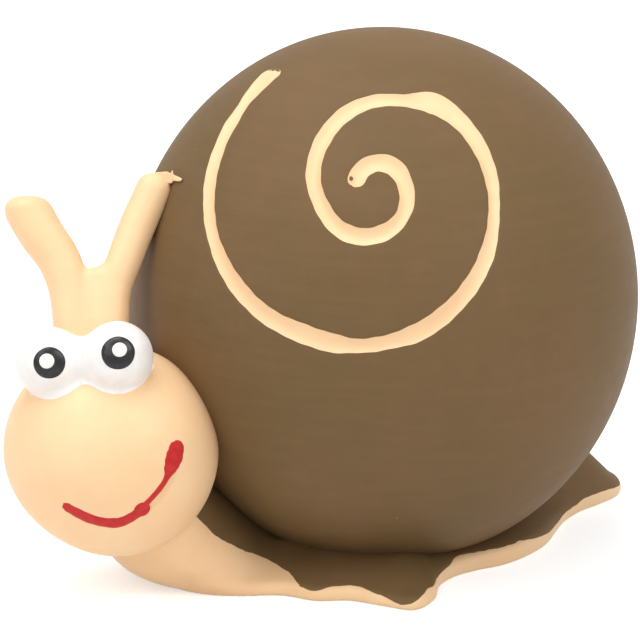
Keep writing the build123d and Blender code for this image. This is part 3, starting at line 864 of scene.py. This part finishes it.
def bead_tree():
    """A strip along a line, as wide as the line's radius, with a channel that runs out at its outer end."""
    tree, named, inlet = node_group("spiral_channel", (
        ("Middle", "NodeSocketVector"), ("Globe", "NodeSocketVector"), ("Sides", "NodeSocketInt"),
        ("Channel Depth", "NodeSocketFloat"), ("Edge Lift", "NodeSocketFloat"),
        ("Outer End", "NodeSocketVector"), ("Run Out", "NodeSocketFloat"),
    ))
    wire = Wire(tree)
    ring = wire.node("GeometryNodeCurvePrimitiveCircle", {}, {"Resolution": inlet["Sides"], "Radius": 1.0})
    radius = wire.node("GeometryNodeInputRadius")
    tube = wire.node(
        "GeometryNodeCurveToMesh", {},
        {"Curve": inlet["Geometry"], "Profile Curve": ring, "Scale": radius, "Fill Caps": True},
    )
    thread = wire.node("GeometryNodeCurveToMesh", {}, {"Curve": inlet["Geometry"]})
    center = wire.node("GeometryNodeProximity", {"target_element": "EDGES"}, {0: thread}, "Position")
    place = wire.node("GeometryNodeInputPosition")
    squared = wire.vector("MULTIPLY", inlet["Globe"], inlet["Globe"])
    from_middle = wire.vector("SUBTRACT", center, inlet["Middle"])
    outward = wire.vector("NORMALIZE", wire.vector("DIVIDE", from_middle, squared))
    offset = wire.vector("SUBTRACT", place, center)
    height = wire.vector("DOT_PRODUCT", offset, outward, out=1)
    sideways = wire.vector("SUBTRACT", offset, outward.scaled(height))
    share = wire.vector("LENGTH", sideways, out=1) / wire.vector("LENGTH", offset, out=1)
    to_end = wire.vector("DISTANCE", center, inlet["Outer End"], out=1)
    least_depth_share, just_under = 0.05, -0.001 * MM
    shallow = to_end.ramp(0.0, inlet["Run Out"], least_depth_share, 1.0)
    hollow = (share * share - 1.0) * inlet["Channel Depth"] * shallow + inlet["Edge Lift"]
    above = wire.math("GREATER_THAN", height, just_under)
    raised = outward.scaled(above * hollow + (1.0 - above) * height)
    put = wire.vector("ADD", wire.vector("ADD", center, sideways), raised)
    moved = wire.node("GeometryNodeSetPosition", {}, {"Geometry": tube, "Position": put})
    close_tree(wire, moved, "cream_rubber")
    return tree, named


def guide_line(paths):
    """Mesh lines along the grooves that carry the half width of the groove."""
    points = np.vstack([path for path, _ in paths])
    edges, first = [], 0
    for path, _ in paths:
        edges += [(first + i, first + i + 1) for i in range(len(path) - 1)]
        first += len(path)
    mesh = bpy.data.meshes.new("groove_guide")
    mesh.from_pydata((points * MM).tolist(), edges, [])
    widths = np.concatenate([width for _, width in paths]) * MM
    mesh.attributes.new("half_width", "FLOAT", "POINT").data.foreach_set("value", widths.astype(np.float32))
    return placed("groove_guide", mesh)


def near_line(points, line, reach):
    """Which points lie within reach of the line's points."""
    close = np.zeros(len(points), bool)
    for part in np.array_split(np.arange(len(points)), 40):
        gaps = ((points[part][:, None] - line[None]) ** 2).sum(2).min(1)
        close[part] = gaps < reach**2
    return close


def globe_mesh(paths):
    """A globe whose faces are smaller along the grooves."""
    made = bmesh.new()
    bmesh.ops.create_icosphere(made, subdivisions=globe_rounds, radius=1.0)
    line = np.vstack([path[::2] for path, _ in paths])
    for reach in fine_reaches:
        made.verts.ensure_lookup_table()
        made.verts.index_update()
        points = shell_middle + np.array([v.co for v in made.verts]) * shell_radii
        close = near_line(points, line, reach)
        edges = [e for e in made.edges if close[e.verts[0].index] and close[e.verts[1].index]]
        bmesh.ops.subdivide_edges(made, edges=edges, cuts=1, use_grid_fill=True)
        for vert in made.verts:
            vert.co.normalize()
    for vert in made.verts:
        vert.co = Vector((shell_middle + np.array(vert.co) * shell_radii) * MM)
    bmesh.ops.triangulate(made, faces=[f for f in made.faces if len(f.verts) > 3])
    mesh = bpy.data.meshes.new("shell")
    made.to_mesh(mesh)
    made.free()
    return placed("shell_form", mesh)


def opened_shell(globe):
    """The globe cut open along its grooves and at its seat, with a real wall."""
    mesh = globe.data
    points, across = np.empty(len(mesh.vertices) * 3), np.empty(len(mesh.vertices))
    faces = np.empty(len(mesh.polygons) * 3, np.int32)
    mesh.vertices.foreach_get("co", points)
    mesh.attributes["across"].data.foreach_get("value", across)
    mesh.polygons.foreach_get("vertices", faces)
    bpy.data.objects.remove(globe)
    points, faces = points.reshape(-1, 3) / MM, faces.reshape(-1, 3)
    points, faces = kept_part(points, faces, np.minimum(across - 1, points[:, 2] - shell_seat))
    points, faces, _ = thickened(points, faces, shell_wall, shell_gap)
    return mesh_piece("shell_skin", points, faces)


def line_curve(name, points, radii):
    """A curve through points in millimetres with a radius at each."""
    curve = bpy.data.curves.new(name, "CURVE")
    curve.dimensions = "3D"
    spline = curve.splines.new("POLY")
    spline.points.add(len(points) - 1)
    spline.points.foreach_set("co", np.column_stack((points * MM, np.ones(len(points)))).ravel())
    spline.points.foreach_set("radius", radii * MM)
    return placed(name, curve)


paths = groove_paths()
guide = guide_line([with_round_ends(path, width, blunt_end_share) for path, width in paths])
tree, named = groove_tree()
globe = grown(globe_mesh(paths), tree, {
    named["Guide"]: guide, named["Shoulder Depth"]: groove_shoulder * MM, named["Edge Wander"]: groove_wander,
})
shell = opened_shell(globe)
bpy.data.objects.remove(guide)
shell.data.set_sharp_from_angle(angle=sharp_angle)
finish_piece(shell, "brown_coat", "shell")

tree, named = bead_tree()
for side, (path, width) in zip(("left", "right"), paths):
    line, radii = with_round_ends(path, width * strip_width_share, blunt_end_share + strip_end_share)
    strip = grown(line_curve(side + "_spiral_form", line, radii), tree, {
        named["Middle"]: (shell_middle * MM).tolist(), named["Globe"]: (shell_radii * MM).tolist(),
        named["Sides"]: strip_sides, named["Channel Depth"]: channel_depth * MM,
        named["Edge Lift"]: strip_edge * MM, named["Outer End"]: (line[-1] * MM).tolist(),
        named["Run Out"]: channel_run_out * MM,
    })
    strip.name = side + "_spiral_strip"
    finish_piece(strip, "cream_rubber", side + "_spiral")


# Foot, neck and mantle


# how deep a skin runs on into the form that it meets, the spacing of its net, and the skins' thickness
bury, net_step = 0.6, 0.8
mantle_thickness, foot_thickness, head_thickness = 0.8, 0.9, 0.7
# opposite corners of the boxes that hold the low and the high form
low_box = (-54, -36, -1.2), (48.5, 36, 21.5)
high_box = (-69, -25, 2), (-28, 20, 67)
# the hole in the sole, then radius and height of the corners of the collar round the squeaker
hole_radius, hole_depth, collar_sides = 11.2, 2.0, 96
collar = (9.12, 1.65), (14.9, 1.65), (14.9, 6.0), (9.12, 6.0)

edge_bearings = np.linspace(0, 180, 361)
edge_heights = eased(np.interp(edge_bearings, *np.array(paint_edge).T), 2)


def paint_side(p):
    """Above 0 where the brown coat lies, below 0 on bare cream rubber."""
    bearing = np.degrees(np.abs(np.arctan2(p[:, 1], p[:, 0])))
    edge = np.interp(bearing, edge_bearings, edge_heights)
    front = (p - saddle_place) @ saddle_normal - np.interp(p @ face_right, *np.array(neck_edge).T)
    front += wandering(p, neck_wander)
    return np.minimum(front, p[:, 2] - edge + wandering(p, rim_wander))


low_points, low_faces = form_skin(base_gap, *low_box, net_step)
brown_side = paint_side(low_points)
off_head = face_gap(low_points) + bury
off_shell = np.maximum(shell_gap(low_points) + bury, shell_seat - low_points[:, 2])
from_axis = np.hypot(low_points[:, 0], low_points[:, 1])
off_hole = np.maximum(from_axis - hole_radius, low_points[:, 2] - hole_depth)

brown_part = kept_part(low_points, low_faces, np.minimum.reduce((brown_side, off_head, off_shell)))
mantle = mesh_piece("mantle_skin", *thickened(*largest_part(*brown_part), mantle_thickness, base_gap))
finish_piece(mantle, "brown_coat", "mantle")

bare_part = kept_part(low_points, low_faces, np.minimum.reduce((-brown_side, off_head, off_shell, off_hole)))
points, faces, normals = thickened(*largest_part(*bare_part), foot_thickness, base_gap)
turns = np.arange(collar_sides) * 2 * pi / collar_sides
ring = np.array([(r * cos(a), r * sin(a), z) for r, z in collar for a in turns])
ring_faces = lattice(len(collar) + 1, collar_sides, wrap=True)[:, ::-1] % len(ring)
ring_normals = ring * (1, 1, 0) / np.linalg.norm(ring * (1, 1, 0), axis=1)[:, None]
foot = mesh_piece(
    "foot_skin", np.vstack((points, ring)), faces + (ring_faces + len(points)).tolist(),
    np.vstack((normals, ring_normals)),
)
finish_piece(foot, "cream_rubber", "foot")


# Head, eyes, tentacles

# the white paint: lap past the eyes' edge, fillet between them, reach over the head, gap to the tentacles
white_lap, white_join, white_reach, white_gap = 0.2, 3.4, 1.3, 0.5


def disc_gap(p, middle):
    """Distance from the round edge of an eye as it is seen from the front."""
    away = p - middle
    return np.hypot(away @ face_right, away @ face_up) - eye_radius - white_lap


high_points, high_faces = form_skin(face_gap, *high_box, net_step)
face_side = np.minimum(shell_gap(high_points), base_gap(high_points)) + bury
tentacle_side = head_gap(high_points) - feelers_gap(high_points)
eyes_away = eyes_gap(high_points)
between_eyes = (left_eye_middle + right_eye_middle) / 2
eye_parting = (high_points - between_eyes) @ unit(left_eye_middle - right_eye_middle)
tentacle_parting = (high_points - between_tentacles) @ face_right
discs = [disc_gap(high_points, middle) for middle in (left_eye_middle, right_eye_middle)]
white_edge = merge(*discs, white_join)
white_side = np.minimum(wandering(high_points, white_wander) - white_edge, white_reach - eyes_away)
white_side = np.minimum(white_side, feelers_gap(high_points) - white_gap)


def head_piece(name, node, slot, *sides):
    """The part of the head's skin where every side is above 0."""
    part = kept_part(high_points, high_faces, np.minimum.reduce((face_side, *sides)))
    skin = thickened(*largest_part(*part), head_thickness, face_gap)
    finish_piece(mesh_piece(name, *skin), slot, node)


head_piece("head_skin", "head", "cream_rubber", -tentacle_side, -white_side)
head_piece("left_eye_dome", "left_eye", "white_enamel", white_side, eye_parting)
head_piece("right_eye_dome", "right_eye", "white_enamel", white_side, -eye_parting)
for node, parting in (("left_tentacle", tentacle_parting), ("right_tentacle", -tentacle_parting)):
    head_piece(node + "_skin", node, "cream_rubber", tentacle_side, -white_side, parting)

# how deep the flash and the paint reach under a skin
paint_depth = 0.3


def torn_flash():
    """Thin torn lip of rubber that runs from the tip of the left tentacle onto the shell."""
    sides, lap, lift = 48, 0.25, 0.15
    middle = on_face(*np.mean(flash, axis=0), flash_ahead)
    # the outline is listed clockwise, and faces look out when it runs the other way
    outline = flowing(flash, sides, closed=True)[::-1]
    rim = np.array([on_face(across, up, flash_ahead) for across, up in outline])
    loops = [middle + (rim - middle) * share for share in (0.25, 0.5, 0.75, 1.0)]
    flat = np.vstack((middle, *loops))
    buried = shell_gap(flat) < lap
    flat[buried] = laid_on(flat[buried], face_ahead, lambda p: shell_gap(p) - lap)
    skins = flat + face_ahead * lift, flat - face_ahead * paint_depth
    lip = mesh_piece("tentacle_flash", *closed_sheet(*skins, disc_faces(len(loops), sides)))
    finish_piece(lip, "cream_rubber")


torn_flash()


# Painted pupils, glints and smile


def painted_disc(name, place, ahead, field, radius, lift, slot, *nodes):
    """A thin round dab of paint on a form, with a soft edge and a slightly wandering outline."""
    across = unit(np.cross(face_up, ahead))
    upward = np.cross(ahead, across)
    sides, rings, wobble, fine_wobble, edge_fall = 72, 14, 0.01, 0.005, 0.8
    flat, heights = [place], [lift]
    for ring in range(1, rings + 1):
        share = ring / rings
        for turn in np.arange(sides) * 2 * pi / sides:
            reach = radius * share * (1 + wobble * sin(2 * turn + 0.7) + fine_wobble * sin(5 * turn))
            flat.append(place + reach * (cos(turn) * across + sin(turn) * upward))
            heights.append(lift * (1 - edge_fall * share**8))
    skin = laid_on(np.array(flat), ahead, field)
    normals, _ = slope_of(skin, field)
    skins = skin + normals * np.array(heights)[:, None], skin - normals * paint_depth
    finish_piece(mesh_piece(name, *closed_sheet(*skins, disc_faces(rings, sides))), slot, *nodes)


def looking(across, up):
    """Direction of a look that strays a little from straight ahead."""
    return unit(across * face_right + up * face_up + face_ahead)


pupil_lift, glint_lift = 0.12, 0.22
for node, middle, ahead, radius, lift, slot in (
    ("left_pupil", left_eye_middle, looking(0.075, 0.125), 2.47, pupil_lift, "black_enamel"),
    ("right_pupil", right_eye_middle, looking(0.06, -0.01), 2.36, pupil_lift, "black_enamel"),
    ("left_glint", left_eye_middle, looking(0.115, 0.205), 1.15, glint_lift, "white_enamel"),
    ("right_glint", right_eye_middle, looking(-0.01, 0.04), 1.18, glint_lift, "white_enamel"),
):
    painted_disc(node + "_dab", middle + ahead * eye_radius, ahead, eyes_gap, radius, lift, slot, node)

# the small dark pit at the inner end of the left spiral, drawn as a flat brown dab rather than a hole: its
# dark colour is painted shade in place of the shadow inside the pit
pit_along, pit_across, pit_depth, pit_radius, pit_lift = 0.11, 0.94, 0.26, 0.32, 0.05
(groove_start, groove_second, *_), _ = paths[0]
outward = unit((groove_start - shell_middle) / shell_radii**2)
run = unit(groove_start - groove_second)
pit_place = groove_start + run * pit_along - np.cross(outward, run) * pit_across
# painted shade: a brown dab where the pit's shadow falls
painted_disc(
    "spiral_pit", pit_place, outward, lambda p: shell_gap(p) + pit_depth, pit_radius, pit_lift, "brown_coat",
)

# the drop of paint where the smile gets thin
drop_radius, drop_lift = 1.25, 0.14
drop_place, = on_ball(np.array((smile_drop,)))
drop_ahead = unit(drop_place - head_middle)
painted_disc("smile_drop", drop_place, drop_ahead, ball_gap, drop_radius, drop_lift, "red_enamel")


def painted_smile():
    """The red line on the head, with a thicker dab at its upper end."""
    stations, lanes, lift, edge_drop, wobble, fine_wobble = 160, 12, 0.11, 0.02, 0.03, 0.02
    station = np.arange(stations)
    places = on_ball(flowing(smile, stations))
    widths = np.interp(np.linspace(0, len(smile) - 1, stations), np.arange(len(smile)), np.array(smile)[:, 2])
    sideways = np.cross(places - head_middle, np.gradient(places, axis=0))
    sideways /= np.linalg.norm(sideways, axis=1)[:, None]
    lane = np.linspace(-1, 1, lanes + 1)
    ragged = 1 + wobble * np.sin(station * 0.35) + fine_wobble * np.sin(station * 0.81 + 1)
    wide = (widths * ragged)[:, None, None] * lane[None, :, None]
    flat = (places[:, None] + sideways[:, None] * wide).reshape(-1, 3)
    skin = settle(flat, ball_gap, 3)
    normals, _ = slope_of(skin, ball_gap)
    heights = np.tile(lift * (1 - lane**4) - edge_drop, stations)
    skins = skin + normals * heights[:, None], skin - normals * paint_depth
    line = mesh_piece("smile_paint", *closed_sheet(*skins, lattice(stations, lanes + 1)))
    finish_piece(line, "red_enamel", "mouth")


painted_smile()


# Squeaker, as the CAD made it

for node in ("squeaker_cup", "squeaker_cover", "reed_block", "reed_wedge", "reed"):
    slot = "reed_film" if node == "reed" else "squeaker_plastic"
    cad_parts[node].data.materials.clear()
    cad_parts[node].data.materials.append(paints[slot])


# Studio


def background_rays(wire):
    """1 for the rays that see the white background: straight, mirrored or through a clear piece."""
    rays = ("Is Camera Ray", "Is Glossy Ray", "Is Transmission Ray")
    straight, mirrored, through = (wire.node("ShaderNodeLightPath", out=name) for name in rays)
    return wire.math("MAXIMUM", wire.math("MAXIMUM", straight, mirrored), through)


def studio_floor():
    """A wide white floor just under the snail."""
    mesh = bpy.data.meshes.new("floor")
    half, ground = 0.9, -0.02 * MM
    corners = [(-half, -half, ground), (half, -half, ground), (half, half, ground), (-half, half, ground)]
    mesh.from_pydata(corners, [], [(0, 1, 2, 3)])
    white = bpy.data.materials.new("floor_white")
    white.use_nodes = True
    shader = white.node_tree.nodes["Principled BSDF"]
    wire = Wire(white.node_tree)
    for socket, value in (
        ("Base Color", (0.8, 0.8, 0.8, 1)), ("Roughness", 0.9), ("Specular IOR Level", 0.0),
        ("Emission Color", background_rays(wire).pick((0.1, 0.1, 0.1, 1), (1, 1, 1, 1))),
        ("Emission Strength", 0.5),
    ):
        wire.plug(shader.inputs[socket], value)
    mesh.materials.append(white)
    floor = placed("floor", mesh)


def aimed(thing, place, aim):
    """Puts a lamp or the camera at a place and turns it to its aim."""
    thing.location = place
    thing.rotation_mode = "QUATERNION"
    thing.rotation_quaternion = (Vector(aim) - Vector(place)).to_track_quat("-Z", "Y")


def soft_light(name, place, size, power):
    """A large square lamp that shines on the snail."""
    lamp = bpy.data.lights.new(name, "AREA")
    lamp.shape = "SQUARE"
    lamp.size = size
    lamp.energy = power
    aimed(placed(name, lamp), place, lamp_aim)


def white_world(strength):
    """White room light, and pure white behind the snail."""
    world = bpy.data.worlds.new("white_room")
    world.use_nodes = True
    bpy.context.scene.world = world
    tree = world.node_tree
    tree.nodes.clear()
    wire = Wire(tree)
    level = background_rays(wire).ramp(0.0, 1.0, strength, 1.0)
    sky = wire.node("ShaderNodeBackground", {}, {"Color": (1, 1, 1, 1), "Strength": level})
    wire.node("ShaderNodeOutputWorld", {}, {"Surface": sky})


# places and sizes of the studio are in metres
world_strength, lamp_aim = 0.52, (0, 0, 0.04)
studio_floor()
white_world(world_strength)
for name, place, size, power in (
    ("key_light", (-0.55, 0.02, 0.80), 0.5, 2.0), ("left_light", (-0.75, -0.35, 0.55), 0.5, 1.35),
    ("top_light", (-0.1, 0.1, 1.0), 0.5, 3.6), ("front_light", (0.15, -0.65, 0.85), 0.6, 0.8),
    ("right_light", (0.35, -0.75, 0.85), 0.6, 3.4),
):
    soft_light(name, place, size, power)

camera_place, camera_aim = (-0.25152, -0.43330, 0.17964), (-0.00919, 0.00388, 0.03631)
camera_data = bpy.data.cameras.new("camera")
camera_data.lens = 182.8
camera_data.sensor_width = 36.0
camera_data.clip_start = 0.01
camera = placed("camera", camera_data)
aimed(camera, camera_place, camera_aim)
bpy.context.scene.camera = camera
bpy.context.scene.view_settings.view_transform = "Standard"

bpy.context.view_layer.update()
